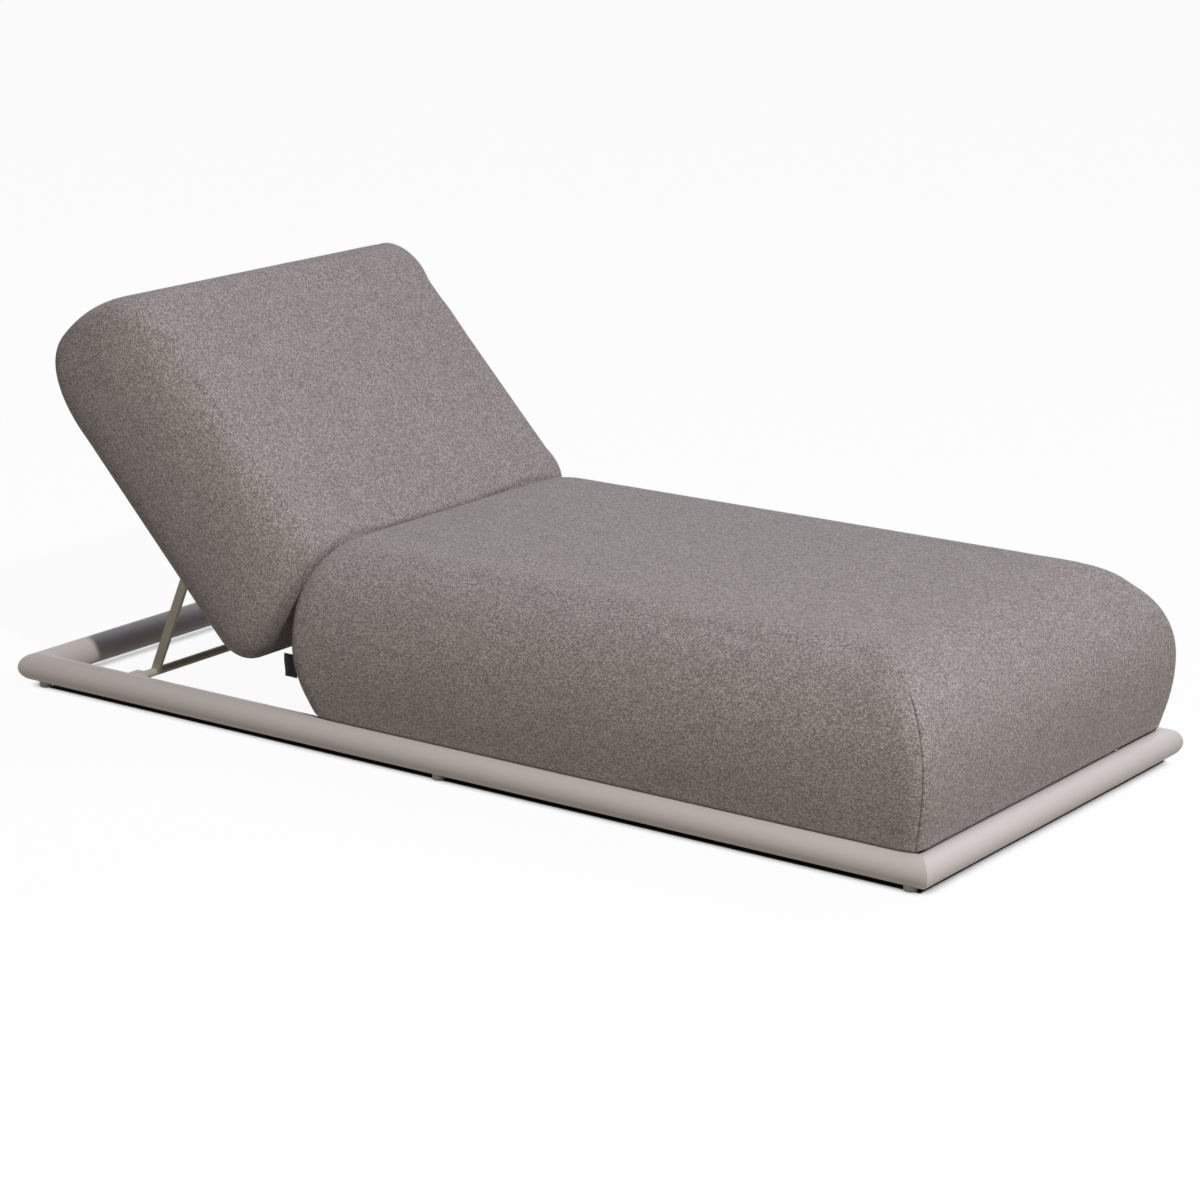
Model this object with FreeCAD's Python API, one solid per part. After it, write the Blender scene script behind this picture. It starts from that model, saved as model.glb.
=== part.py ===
import FreeCAD, Part
import math
import os
from FreeCAD import Vector

# Relaxation lounger: a low frame of round tube, a deep seat cushion that stays flat,
# and a deep back cushion on a hinged frame that a swinging prop holds at its angle.
# Millimetres and degrees. X runs from the head end (-X) to the foot end (+X), the
# lying person's left is +Y, Z is up, and the floor is Z = 0 under the frame's middle.

# Overall frame
frame_length = 2050.0
frame_width = 900.0
rail_diameter = 55.0
rail_wall = 2.5

# Glides under the side rails
glide_height = 8.5
glide_diameter = 24.0
glide_edge = 1.5
glide_inset = 47.0
glide_screw_diameter = 5.0
glide_head_diameter = 9.0
glide_head_height = 3.0

# Seat platform: sprung slats on two ledges
slat_count = 8
slat_width = 68.0
slat_thickness = 8.0
slat_edge = 2.5
first_slat_from_hinge = 120.0
last_slat_setback = 95.0
ledge_width = 22.0
ledge_thickness = 4.0
ledge_overhang = 8.0
slat_screw_diameter = 5.0
slat_screw_head = 9.0
slat_screw_inset = 12.0

# Crossbar that carries the hinge posts
crossbar_width = 40.0
crossbar_height = 26.0
crossbar_wall = 2.0
crossbar_clearance_below_ledge = 0.5
crossbar_edge = 3.0
crossbar_from_hinge = 82.0

# Hinge of the back: its line from the frame's head end and above the rails
hinge_from_head = 653.0
hinge_rise = 143.5
hinge_inset = 100.0
hinge_plate = 8.0
hinge_eye_radius = 11.0
hinge_pin_diameter = 12.0
hinge_pin_head_diameter = 20.0
hinge_pin_head = 3.0
hinge_bush_wall = 2.0
hinge_plate_gap = 1.2
hinge_clip_diameter = 18.0
hinge_clip = 1.5
post_height = 22.0
post_front_from_hinge = 26.0
post_rear_from_hinge = 4.0
post_inner_radius = 12.0
post_outer_radius = 18.0
post_step_radius = 3.0

# Angles of the back above the floor
recline_raised = 46.2
recline_low = 4.0

# Back frame, set in from the back cushion's sides and upper end
back_frame_inset = 140.0
back_tube = 25.0
back_tube_wall = 2.0
back_tube_edge = 3.0
back_frame_start = 45.0
back_frame_setback = 57.9
back_slat_count = 4
back_slat_width = 50.0
back_slat_thickness = 5.0
lug_margin = 3.0
lug_inner_radius = 8.0
lug_outer_radius = 24.0

# Prop that swings up behind the back: its axle from the hinge and above the rails' middle
prop_from_hinge = 396.0
prop_rise = 9.0
prop_rise_angle = 66.3
prop_axle_diameter = 16.0
prop_axle_wall = 2.5
arm_width = 18.0
arm_thickness = 8.0
arm_gap = 18.0
pin_depth = 25.3
prop_pin_diameter = 8.0
prop_pin_head_diameter = 14.0
prop_pin_head = 3.0
roller_diameter = 12.0
clip_diameter = 14.0
clip_thickness = 1.5

# Notched rack plates on the back frame
rack_thickness = 5.0
rack_spacing = 8.0
rack_rim = 5.0
rack_top_setback = 1.0
rack_end_radius = 9.0
rack_bolt_offset = 13.0
rack_bolt_diameter = 6.0
rack_bolt_head_diameter = 10.0
rack_bolt_head = 3.5
rack_bolt_reach = 9.0
rack_spacer_diameter = 14.0
notch_count = 6
notch_depth = 3.5
slot_play = 0.35

# Bearing blocks of the prop axle
block_rim = 4.0
block_length = 44.0
block_depth = 20.0
block_foot = 16.0
block_foot_radius = 3.0
block_round_share = 0.9
axle_end_gap = 5.0
block_screw_diameter = 5.0
block_screw_head_diameter = 9.0
block_screw_head = 3.0
block_screw_spacing = 32.0
block_screw_reach = 12.0

# Buffers that rest on the head rail when the back is down
buffer_diameter = 22.0
buffer_taper = 3.0

# Seat cushion: it fills the frame from the hinge to the foot end
seat_side_setback = 0.5
seat_foot_setback = 10.0
seat_from_hinge = 38.0
seat_height = 311.0
seat_crown = 9.0
seat_crown_inset = 120.0
seat_widest_height = 131.0
seat_tuck_side = 21.0
seat_tuck_foot = 32.0
seat_tuck_head = 41.0
seat_round_side = 162.0
seat_round_foot = 200.0
seat_round_head = 46.0
seat_corner_low = 20.0
seat_corner_top = 42.0

# Back cushion, sizes along and square to the back frame; lying, it overhangs the head end
back_side_setback = 10.0
back_low_end = 9.9
back_overhang = 72.9
back_thickness = 286.0
back_crown = 8.0
back_crown_inset = 110.0
back_widest = 108.0
back_end_slope_share = 0.168
back_round_side_rear = 44.0
back_round_side_front = 74.0
back_round_high_rear = 178.0
back_round_high_front = 106.0
back_round_low_rear = 50.0
back_round_low_front = 50.0
back_corner = 52.0
back_drop = 141.2

# Fabric and foam
cover_thickness = 2.5
core_gap = 0.4
tab_height = 44.0
tab_reach = 18.0
tab_thickness = 1.6
tab_rise = 68.5
tab_inboard = 19.0

# Fits
running_gap = 0.06
weld_gap = 0.1
soft_gap = 0.4
overrun = 20.0
touching = 0.00001

# Shares that shape the cushions' rounded edges
round_power_share = 2.2
crown_inset_shares = (0.0, 0.3, 0.65, 1.0)
crown_height_shares = (0.0, 0.5, 0.85, 1.0)

# Bands of a cushion's rounded edges: more on the cover's outside, fewer inside
cover_low_bands = 5
cover_top_bands = 7
core_low_bands = 2
core_top_bands = 4

# Worked out from the sizes above
rail_radius = rail_diameter / 2
rail_z = glide_height + rail_radius
rail_x = frame_length / 2 - rail_radius
rail_y = frame_width / 2 - rail_radius
rail_top = rail_z + rail_radius
slat_bottom = rail_top - slat_thickness
ledge_bottom = slat_bottom - ledge_thickness
crossbar_top = ledge_bottom - crossbar_clearance_below_ledge
crossbar_bottom = crossbar_top - crossbar_height
hinge_x = hinge_from_head - frame_length / 2
hinge_z = rail_top + hinge_rise
hinge = Vector(hinge_x, 0, hinge_z)
prop_x = hinge_x - prop_from_hinge
prop_z = rail_z + prop_rise
prop = Vector(prop_x, 0, prop_z)
crossbar_head_face_x = hinge_x + crossbar_from_hinge
post_front_x = hinge_x + post_front_from_hinge
post_rear_x = hinge_x + post_rear_from_hinge
first_slat_x = hinge_x + first_slat_from_hinge
last_slat_x = frame_length / 2 - last_slat_setback
seat_head = hinge_x + seat_from_hinge
seat_foot = frame_length / 2 - seat_foot_setback
seat_half = frame_width / 2 - seat_side_setback
back_half = frame_width / 2 - back_side_setback
back_high_end = hinge_from_head + back_overhang
back_frame_end = back_high_end - back_frame_setback
back_frame_half_width = back_half - back_frame_inset
hinge_y = back_frame_half_width - hinge_inset
frame_top = -back_drop - soft_gap
frame_bottom = frame_top - back_tube
rack_inner_y = back_frame_half_width + rack_spacing
rack_outer_y = rack_inner_y + rack_thickness
arm_inner_y = rack_outer_y + arm_gap
slot_radius = roller_diameter / 2 + slot_play
pin_low_n = frame_top - pin_depth
X_AXIS = Vector(1, 0, 0)
Y_AXIS = Vector(0, 1, 0)
Z_AXIS = Vector(0, 0, 1)
ORIGIN = Vector(0, 0, 0)
sides = {"left": 1, "right": -1}
parts = {}


def height_above_back(angle):
    """Distance of the prop axle from the back's hinge line, square to the back."""
    turn = math.radians(angle)
    return math.sin(turn) * (prop_x - hinge_x) + math.cos(turn) * (prop_z - hinge_z)


# The pin sits at the same depth below the back frame at both ends of its travel
raised_sum = math.radians(recline_raised + prop_rise_angle)
arm_length = (pin_low_n - height_above_back(recline_raised)) / math.sin(raised_sum)
lying_lift = math.asin((pin_low_n - height_above_back(recline_low)) / arm_length)
prop_low_angle = 180 - math.degrees(lying_lift) - recline_low
prop_ratio = (prop_low_angle - prop_rise_angle) / (recline_raised - recline_low)


def pin_path(share):
    """Place of the prop pin along and square to the back, from raised (0) to low (1)."""
    back = math.radians(recline_raised + (recline_low - recline_raised) * share)
    arm = math.radians(prop_rise_angle + (prop_low_angle - prop_rise_angle) * share)
    x = prop_x + arm_length * math.cos(arm) - hinge_x
    z = prop_z + arm_length * math.sin(arm) - hinge_z
    along = -x * math.cos(back) + z * math.sin(back)
    square = x * math.sin(back) + z * math.cos(back)
    return along, square


def block(low, high):
    """Box between two corners given as (x, y, z)."""
    size = [b - a for a, b in zip(low, high)]
    return Part.makeBox(size[0], size[1], size[2], Vector(*low))


def rod(radius, start, along, length):
    return Part.makeCylinder(radius, length, start, along)


def y_rod(radius, x, z, y_from, y_to):
    low = min(y_from, y_to)
    return rod(radius, Vector(x, low, z), Y_AXIS, abs(y_to - y_from))


def rounded_face(corners):
    """Flat face in the XZ plane through (x, z, radius) corners, each rounded."""
    edges = []
    starts = []
    ends = []
    mids = []
    count = len(corners)
    for i in range(count):
        here = Vector(corners[i][0], 0, corners[i][1])
        before = Vector(corners[i - 1][0], 0, corners[i - 1][1]) - here
        after_corner = corners[(i + 1) % count]
        after = Vector(after_corner[0], 0, after_corner[1]) - here
        before.normalize()
        after.normalize()
        radius = corners[i][2]
        half = before.getAngle(after) / 2
        cut = radius / math.tan(half)
        starts.append(here + before * cut)
        ends.append(here + after * cut)
        middle = before + after
        if radius > 0:
            middle.normalize()
            mids.append(here + middle * (radius / math.sin(half) - radius))
        else:
            mids.append(None)
    for i in range(count):
        if mids[i] is not None:
            edges.append(Part.Arc(starts[i], mids[i], ends[i]).toShape())
        following = starts[(i + 1) % count]
        if ends[i].distanceToPoint(following) > touching:
            edges.append(Part.LineSegment(ends[i], following).toShape())
    return Part.Face(Part.Wire(edges))


def plate(corners, y_from, y_to):
    """Plate with a rounded outline in the XZ plane, between two Y values."""
    low = min(y_from, y_to)
    face = rounded_face(corners)
    face.translate(Vector(0, low, 0))
    return face.extrude(Vector(0, abs(y_to - y_from), 0))


def rect_tube(start, along, length, across, up, wall, edge):
    """Rectangular tube from a corner point: across and up are its two side vectors."""
    def bar(inset, corner):
        base = start + across * (inset / across.Length) + up * (inset / up.Length)
        a = across * ((across.Length - 2 * inset) / across.Length)
        b = up * ((up.Length - 2 * inset) / up.Length)
        points = [base, base + a, base + a + b, base + b, base]
        solid = Part.Face(Part.makePolygon(points)).extrude(along * length)
        long_edges = [e for e in solid.Edges if abs(e.Length - length) < corner]
        return solid.makeFillet(corner, long_edges)
    return bar(0, edge).cut(bar(wall, edge - wall))


def mitre_prism(half_long, half_wide, reach, low, high):
    """Block whose ends are cut at 45 degrees at a frame's corners, along X at +Y."""
    outer = half_wide + reach
    inner = half_wide - reach
    points = [
        Vector(-half_long - reach, outer, low),
        Vector(half_long + reach, outer, low),
        Vector(half_long - reach, inner, low),
        Vector(-half_long + reach, inner, low),
        Vector(-half_long - reach, outer, low),
    ]
    return Part.Face(Part.makePolygon(points)).extrude(Vector(0, 0, high - low))


def lay_back(shape):
    """Stand up a piece that was drawn with the back lying flat and the hinge at 0."""
    placed = shape.copy()
    placed.rotate(ORIGIN, Y_AXIS, recline_raised)
    placed.translate(hinge)
    return placed


def rail_bodies():
    """Solid cylinders of the side rails, grown a little, that cope what meets them."""
    grown = rail_radius + weld_gap
    start_x = -frame_length / 2
    bodies = []
    for side in sides.values():
        start = Vector(start_x, side * rail_y, rail_z)
        bodies.append(rod(grown, start, X_AXIS, frame_length))
    return bodies[0].fuse(bodies[1])


# Base frame
glide_xs = (-frame_length / 2 + glide_inset, 0, frame_length / 2 - glide_inset)
block_screw_xs = (prop_x - block_screw_spacing / 2, prop_x + block_screw_spacing / 2)
reach = rail_radius + overrun


def round_tube(start, along, length):
    outer = rod(rail_radius, start, along, length)
    return outer.cut(rod(rail_radius - rail_wall, start, along, length))


def side_rail(side):
    start = Vector(-frame_length / 2 - overrun, side * rail_y, rail_z)
    tube = round_tube(start, X_AXIS, frame_length + 2 * overrun)
    prism = mitre_prism(rail_x, rail_y, reach, 0, rail_top + overrun)
    if side < 0:
        prism = prism.mirror(ORIGIN, Y_AXIS)
    rail = tube.common(prism)
    for x in glide_xs:
        hole = glide_screw_diameter / 2 + running_gap
        rail = rail.cut(rod(hole, Vector(x, side * rail_y, 0), Z_AXIS, rail_z))
    for x in block_screw_xs:
        hole = block_screw_diameter / 2 + running_gap
        rail = rail.cut(y_rod(hole, x, rail_z, side * (rail_y - reach), side * rail_y))
    return rail


def end_rail(end):
    start = Vector(end * rail_x, -frame_width / 2 - overrun, rail_z)
    tube = round_tube(start, Y_AXIS, frame_width + 2 * overrun)
    prism = mitre_prism(rail_y, rail_x, reach, 0, rail_top + overrun)
    prism.rotate(ORIGIN, Z_AXIS, -90 * end)
    return tube.common(prism)


for name, side in sides.items():
    parts[name + "_side_rail"] = side_rail(side)
parts["head_rail"] = end_rail(-1)
parts["foot_rail"] = end_rail(1)


# Glides
def glide(x, side):
    start = Vector(x, side * rail_y, 0)
    top = rail_radius * (1 - math.cos(math.asin(glide_diameter / rail_diameter)))
    body = rod(glide_diameter / 2, start, Z_AXIS, glide_height + top)
    bottom = [e for e in body.Edges if e.BoundBox.ZMax < glide_edge and len(e.Vertexes) == 1]
    body = body.makeChamfer(glide_edge, bottom)
    body = body.cut(rail_cutter)
    hole = glide_screw_diameter / 2 + running_gap
    body = body.cut(rod(hole, start, Z_AXIS, rail_z))
    recess = glide_head_diameter / 2 + running_gap
    return body.cut(rod(recess, start, Z_AXIS, glide_head_height + glide_edge))


def glide_screw(x, side):
    start = Vector(x, side * rail_y, glide_edge)
    head = rod(glide_head_diameter / 2, start, Z_AXIS, glide_head_height - running_gap)
    length = glide_height + rail_wall + glide_head_height
    return head.fuse(rod(glide_screw_diameter / 2, start, Z_AXIS, length)).removeSplitter()


rail_cutter = rail_bodies()
glide_names = ("head", "middle", "foot")
glide_screws = []
for name, side in sides.items():
    for place, x in zip(glide_names, glide_xs):
        parts[name + "_" + place + "_glide"] = glide(x, side)
        glide_screws.append(glide_screw(x, side))
parts["glide_screws"] = Part.makeCompound(glide_screws)


# Seat platform
slat_pitch = (last_slat_x - first_slat_x) / (slat_count - 1)
slat_xs = [first_slat_x + i * slat_pitch for i in range(slat_count)]
screw_y = rail_y - rail_radius - slat_screw_inset


def slat_screw(x, side):
    cone_height = (slat_screw_head - slat_screw_diameter) / 2
    start = Vector(x, side * screw_y, rail_top - cone_height)
    cone = Part.makeCone(slat_screw_diameter / 2, slat_screw_head / 2, cone_height, start)
    length = slat_thickness + ledge_thickness
    shank_start = Vector(x, side * screw_y, rail_top - length)
    shank = rod(slat_screw_diameter / 2, shank_start, Z_AXIS, length - cone_height)
    return cone.fuse(shank).removeSplitter()


def slat_screw_hole(x, side):
    cone_height = (slat_screw_head - slat_screw_diameter) / 2 + running_gap
    small = slat_screw_diameter / 2 + running_gap
    large = slat_screw_head / 2 + running_gap
    start = Vector(x, side * screw_y, rail_top - cone_height)
    cone = Part.makeCone(small, large, cone_height, start)
    shank_start = Vector(x, side * screw_y, ledge_bottom - overrun)
    return cone.fuse(rod(small, shank_start, Z_AXIS, rail_top - shank_start.z))


def seat_slat(x):
    low = (x - slat_width / 2, -rail_y, slat_bottom)
    high = (x + slat_width / 2, rail_y, rail_top)
    slat = block(low, high)
    long_edges = [e for e in slat.Edges if abs(e.Length - 2 * rail_y) < slat_edge]
    slat = slat.makeFillet(slat_edge, long_edges).cut(rail_cutter)
    for side in sides.values():
        slat = slat.cut(slat_screw_hole(x, side))
    return slat


def slat_ledge(side):
    inner = side * (rail_y - rail_radius - ledge_width)
    outer = side * rail_y
    low = (crossbar_head_face_x, min(inner, outer), ledge_bottom)
    high = (last_slat_x + slat_width / 2 + ledge_overhang, max(inner, outer), slat_bottom)
    ledge = block(low, high).cut(rail_cutter)
    for x in slat_xs:
        ledge = ledge.cut(slat_screw_hole(x, side))
    return ledge


for i, x in enumerate(slat_xs):
    parts["seat_slat_%d" % (i + 1)] = seat_slat(x)
for name, side in sides.items():
    parts[name + "_slat_ledge"] = slat_ledge(side)
parts["slat_screws"] = Part.makeCompound(
    [slat_screw(x, side) for x in slat_xs for side in sides.values()])

# Crossbar with the hinge posts
parts["hinge_crossbar"] = rect_tube(
    Vector(crossbar_head_face_x, -rail_y, crossbar_bottom), Y_AXIS, 2 * rail_y,
    Vector(crossbar_width, 0, 0), Vector(0, 0, crossbar_height),
    crossbar_wall, crossbar_edge).cut(rail_cutter)


def hinge_post(side):
    eye = hinge_eye_radius
    foot_bottom = (crossbar_top + crossbar_bottom - post_height) / 2
    foot_top = foot_bottom + post_height
    corners = [
        (crossbar_head_face_x, foot_bottom, 0),
        (crossbar_head_face_x, foot_top, 0),
        (post_front_x, foot_top, post_inner_radius),
        (post_front_x, hinge_z + eye, eye),
        (hinge_x - eye, hinge_z + eye, eye),
        (hinge_x - eye, hinge_z - eye, eye),
        (post_rear_x, hinge_z - eye, post_step_radius),
        (post_rear_x, foot_bottom, post_outer_radius),
    ]
    inner = side * (hinge_y - hinge_plate / 2)
    outer = side * (hinge_y + hinge_plate / 2)
    post = plate(corners, inner, outer)
    bore = hinge_pin_diameter / 2 + running_gap
    return post.cut(y_rod(bore, hinge_x, hinge_z, inner, outer))


lug_inner_y = hinge_y + hinge_plate / 2 + hinge_plate_gap
lug_outer_y = lug_inner_y + hinge_plate


def hinge_pin(side):
    head_y = hinge_y - hinge_plate / 2
    end_y = lug_outer_y + hinge_clip * 2
    pin = y_rod(hinge_pin_diameter / 2, hinge_x, hinge_z, side * head_y, side * end_y)
    head = y_rod(hinge_pin_head_diameter / 2, hinge_x, hinge_z,
                 side * (head_y - hinge_pin_head), side * head_y)
    return pin.fuse(head).removeSplitter()


def hinge_pin_clip(side):
    start = lug_outer_y + running_gap
    ring = y_rod(hinge_clip_diameter / 2, hinge_x, hinge_z,
                 side * start, side * (start + hinge_clip))
    return ring.cut(y_rod(hinge_pin_diameter / 2 + running_gap, hinge_x, hinge_z,
                          side * (start - overrun), side * (start + overrun)))


for name, side in sides.items():
    parts[name + "_hinge_post"] = hinge_post(side)
parts["hinge_pins"] = Part.makeCompound([hinge_pin(s) for s in sides.values()])
parts["hinge_pin_clips"] = Part.makeCompound([hinge_pin_clip(s) for s in sides.values()])

# Bearing blocks of the prop axle
axle_radius = prop_axle_diameter / 2
block_top_radius = axle_radius + block_rim
block_inner_y = rail_y - rail_radius - block_depth
block_nose = block_top_radius * block_round_share


def bearing_block(side):
    foot_z = prop_z - block_top_radius - block_foot
    corners = [
        (prop_x - block_length / 2, foot_z, block_foot_radius),
        (prop_x - block_length / 2, rail_z + block_screw_diameter, block_foot_radius),
        (prop_x - block_top_radius, prop_z + block_top_radius, block_nose),
        (prop_x + block_top_radius, prop_z + block_top_radius, block_nose),
        (prop_x + block_length / 2, rail_z + block_screw_diameter, block_foot_radius),
        (prop_x + block_length / 2, foot_z, block_foot_radius),
    ]
    solid = plate(corners, side * block_inner_y, side * rail_y).cut(rail_cutter)
    bore = axle_radius + running_gap
    solid = solid.cut(y_rod(bore, prop_x, prop_z, 0, side * rail_y))
    for x in block_screw_xs:
        hole = block_screw_diameter / 2 + running_gap
        solid = solid.cut(y_rod(hole, x, rail_z, 0, side * rail_y))
    return solid


def block_screw(x, side):
    head = y_rod(block_screw_head_diameter / 2, x, rail_z,
                 side * (block_inner_y - block_screw_head), side * block_inner_y)
    end = rail_y - rail_radius + block_screw_reach
    shank = y_rod(block_screw_diameter / 2, x, rail_z, side * block_inner_y, side * end)
    return head.fuse(shank).removeSplitter()


for name, side in sides.items():
    parts[name + "_bearing_block"] = bearing_block(side)
parts["bearing_block_screws"] = Part.makeCompound(
    [block_screw(x, side) for x in block_screw_xs for side in sides.values()])

# Prop: axle, two arms, and a pin with a roller on each arm
axle_half = rail_y - rail_radius - axle_end_gap
axle = y_rod(axle_radius, prop_x, prop_z, -axle_half, axle_half)
axle_bore = axle_radius - prop_axle_wall
parts["prop_axle"] = axle.cut(y_rod(axle_bore, prop_x, prop_z, -axle_half, axle_half))
pin_x = prop_x + arm_length * math.cos(math.radians(prop_rise_angle))
pin_z = prop_z + arm_length * math.sin(math.radians(prop_rise_angle))
arm_outer_y = arm_inner_y + arm_thickness
pin_end_y = rack_inner_y - clip_thickness * 2 - running_gap


def prop_arm(side):
    half = arm_width / 2
    corners = [
        (0, -half, 0),
        (arm_length + half, -half, half),
        (arm_length + half, half, half),
        (0, half, 0),
    ]
    arm = plate(corners, side * arm_inner_y, side * arm_outer_y)
    arm.rotate(ORIGIN, Y_AXIS, -prop_rise_angle)
    arm.translate(prop)
    arm = arm.cut(y_rod(axle_radius + weld_gap, prop_x, prop_z, 0, side * frame_width))
    bore = prop_pin_diameter / 2 + running_gap
    return arm.cut(y_rod(bore, pin_x, pin_z, 0, side * frame_width))


def prop_pin(side):
    shank = y_rod(prop_pin_diameter / 2, pin_x, pin_z, side * pin_end_y, side * arm_outer_y)
    head = y_rod(prop_pin_head_diameter / 2, pin_x, pin_z,
                 side * arm_outer_y, side * (arm_outer_y + prop_pin_head))
    return head.fuse(shank).removeSplitter()


def ring(outer_radius, inner_radius, x, z, y_from, y_to):
    body = y_rod(outer_radius, x, z, y_from, y_to)
    return body.cut(y_rod(inner_radius, x, z, y_from, y_to))


def prop_roller(side):
    inner = rack_inner_y - clip_thickness / 2
    outer = arm_inner_y - soft_gap
    bore = prop_pin_diameter / 2 + running_gap
    return ring(roller_diameter / 2, bore, pin_x, pin_z, side * inner, side * outer)


def prop_clip(side):
    inner = rack_inner_y - clip_thickness / 2 - running_gap - clip_thickness
    bore = prop_pin_diameter / 2 + running_gap
    return ring(clip_diameter / 2, bore, pin_x, pin_z,
                side * inner, side * (inner + clip_thickness))


for name, side in sides.items():
    parts[name + "_prop_arm"] = prop_arm(side)
    parts[name + "_prop_roller"] = prop_roller(side)
parts["prop_pins"] = Part.makeCompound([prop_pin(s) for s in sides.values()])
parts["prop_pin_clips"] = Part.makeCompound([prop_clip(s) for s in sides.values()])

# Back frame, drawn lying flat towards -X with the hinge at the origin
back_mid_x = -(back_frame_start + back_frame_end) / 2
back_half_long = (back_frame_end - back_frame_start) / 2 - back_tube / 2
back_half_wide = back_frame_half_width - back_tube / 2
rack_bolt_us = (pin_path(0)[0] - slot_radius - rack_bolt_offset,
                pin_path(1)[0] + slot_radius + rack_bolt_offset)
bolt_n = pin_low_n + rack_rim


def back_side_rail(side):
    start = Vector(-back_frame_end, side * (back_half_wide - back_tube / 2), frame_bottom)
    if side < 0:
        start.y = side * back_frame_half_width
    tube = rect_tube(start, X_AXIS, back_frame_end - back_frame_start,
                     Vector(0, back_tube, 0), Vector(0, 0, back_tube),
                     back_tube_wall, back_tube_edge)
    prism = mitre_prism(back_half_long, back_half_wide, back_tube,
                        frame_bottom - overrun, frame_top + overrun)
    if side < 0:
        prism = prism.mirror(ORIGIN, Y_AXIS)
    prism.translate(Vector(back_mid_x, 0, 0))
    rail = tube.common(prism)
    for u in rack_bolt_us:
        hole = rack_bolt_diameter / 2 + running_gap
        rail = rail.cut(y_rod(hole, -u, bolt_n, side * back_half_wide,
                              side * (back_frame_half_width + overrun)))
    return rail


def back_end_rail(end_x, turn):
    start = Vector(end_x - back_tube / 2, -back_frame_half_width, frame_bottom)
    tube = rect_tube(start, Y_AXIS, 2 * back_frame_half_width,
                     Vector(back_tube, 0, 0), Vector(0, 0, back_tube),
                     back_tube_wall, back_tube_edge)
    prism = mitre_prism(back_half_wide, back_half_long, back_tube,
                        frame_bottom - overrun, frame_top + overrun)
    prism.rotate(ORIGIN, Z_AXIS, turn)
    prism.translate(Vector(back_mid_x, 0, 0))
    return tube.common(prism)


def back_slat(u):
    half_y = back_frame_half_width - back_tube - weld_gap
    low = (-u - back_slat_width / 2, -half_y, frame_top - back_slat_thickness)
    high = (-u + back_slat_width / 2, half_y, frame_top)
    return block(low, high)


def hinge_lug(side):
    eye = hinge_eye_radius
    end_foot_u = -back_low_end
    leg_n = frame_bottom
    tilt = back_end_slope_share * back_drop
    corners = [
        (-back_frame_start, frame_top - lug_margin, 0),
        (-end_foot_u + lug_margin, frame_top - lug_margin, lug_inner_radius),
        (-eye, 0 - tilt / 2, lug_inner_radius),
        (-eye, eye, eye),
        (eye, eye, eye),
        (eye, 0 - tilt / 2, lug_inner_radius),
        (-end_foot_u + lug_margin + 2 * eye, leg_n, lug_outer_radius),
        (-back_frame_start, leg_n, 0),
    ]
    lug = plate(corners, side * lug_inner_y, side * lug_outer_y)
    bore = hinge_pin_diameter / 2 + hinge_bush_wall + 2 * running_gap
    return lug.cut(y_rod(bore, 0, 0, 0, side * frame_width))


def hinge_bush(side):
    inner = hinge_pin_diameter / 2 + running_gap
    outer = inner + hinge_bush_wall
    return ring(outer, inner, 0, 0, side * (lug_inner_y - hinge_plate_gap + soft_gap),
                side * lug_outer_y)


def path_points(offset, count):
    """Points beside the pin's path on the lying back, offset square to it."""
    points = []
    for i in range(count + 1):
        share = i / count
        along, square = pin_path(share)
        points.append(Vector(-along, 0, square + offset))
    return points


def rack_slot(side):
    """Slot round the pin's whole path, with a notch at each resting angle."""
    upper = path_points(slot_radius, 2 * notch_count)
    lower = path_points(-slot_radius, 2 * notch_count)
    top = Part.BSplineCurve()
    top.interpolate(upper)
    bottom = Part.BSplineCurve()
    bottom.interpolate(lower)
    low_y = min(side * rack_inner_y, side * rack_outer_y) - overrun
    width = rack_thickness + 2 * overrun
    ends = [Part.LineSegment(a, b).toShape() for a, b in
            ((upper[0], lower[0]), (upper[-1], lower[-1]))]
    wire = Part.Wire(Part.sortEdges([top.toShape(), bottom.toShape()] + ends)[0])
    slot = Part.Face(wire)
    slot.translate(Vector(0, low_y, 0))
    slot = slot.extrude(Vector(0, width, 0))
    for share in (0, 1):
        along, square = pin_path(share)
        slot = slot.fuse(y_rod(slot_radius, -along, square, low_y, low_y + width))
    for i in range(notch_count):
        along, square = pin_path(i / (notch_count - 1))
        slot = slot.fuse(y_rod(slot_radius, -along, square + notch_depth, low_y, low_y + width))
    return slot


def rack_plate(side):
    low_n = pin_low_n - slot_radius - rack_rim
    high_n = frame_top - rack_top_setback
    start_x = -rack_bolt_us[1] - rack_end_radius
    end_x = -rack_bolt_us[0] + rack_end_radius
    corners = [(x, n, rack_end_radius) for x, n in
               ((start_x, low_n), (end_x, low_n), (end_x, high_n), (start_x, high_n))]
    solid = plate(corners, side * rack_inner_y, side * rack_outer_y).cut(rack_slot(side))
    for u in rack_bolt_us:
        hole = rack_bolt_diameter / 2 + running_gap
        solid = solid.cut(y_rod(hole, -u, bolt_n, 0, side * frame_width))
    return solid


def rack_spacer(u, side):
    bore = rack_bolt_diameter / 2 + running_gap
    return ring(rack_spacer_diameter / 2, bore, -u, bolt_n,
                side * back_frame_half_width, side * rack_inner_y)


def rack_bolt(u, side):
    head = y_rod(rack_bolt_head_diameter / 2, -u, bolt_n,
                 side * rack_outer_y, side * (rack_outer_y + rack_bolt_head))
    end = back_frame_half_width - rack_bolt_reach
    shank = y_rod(rack_bolt_diameter / 2, -u, bolt_n, side * end, side * rack_outer_y)
    return head.fuse(shank).removeSplitter()


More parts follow.
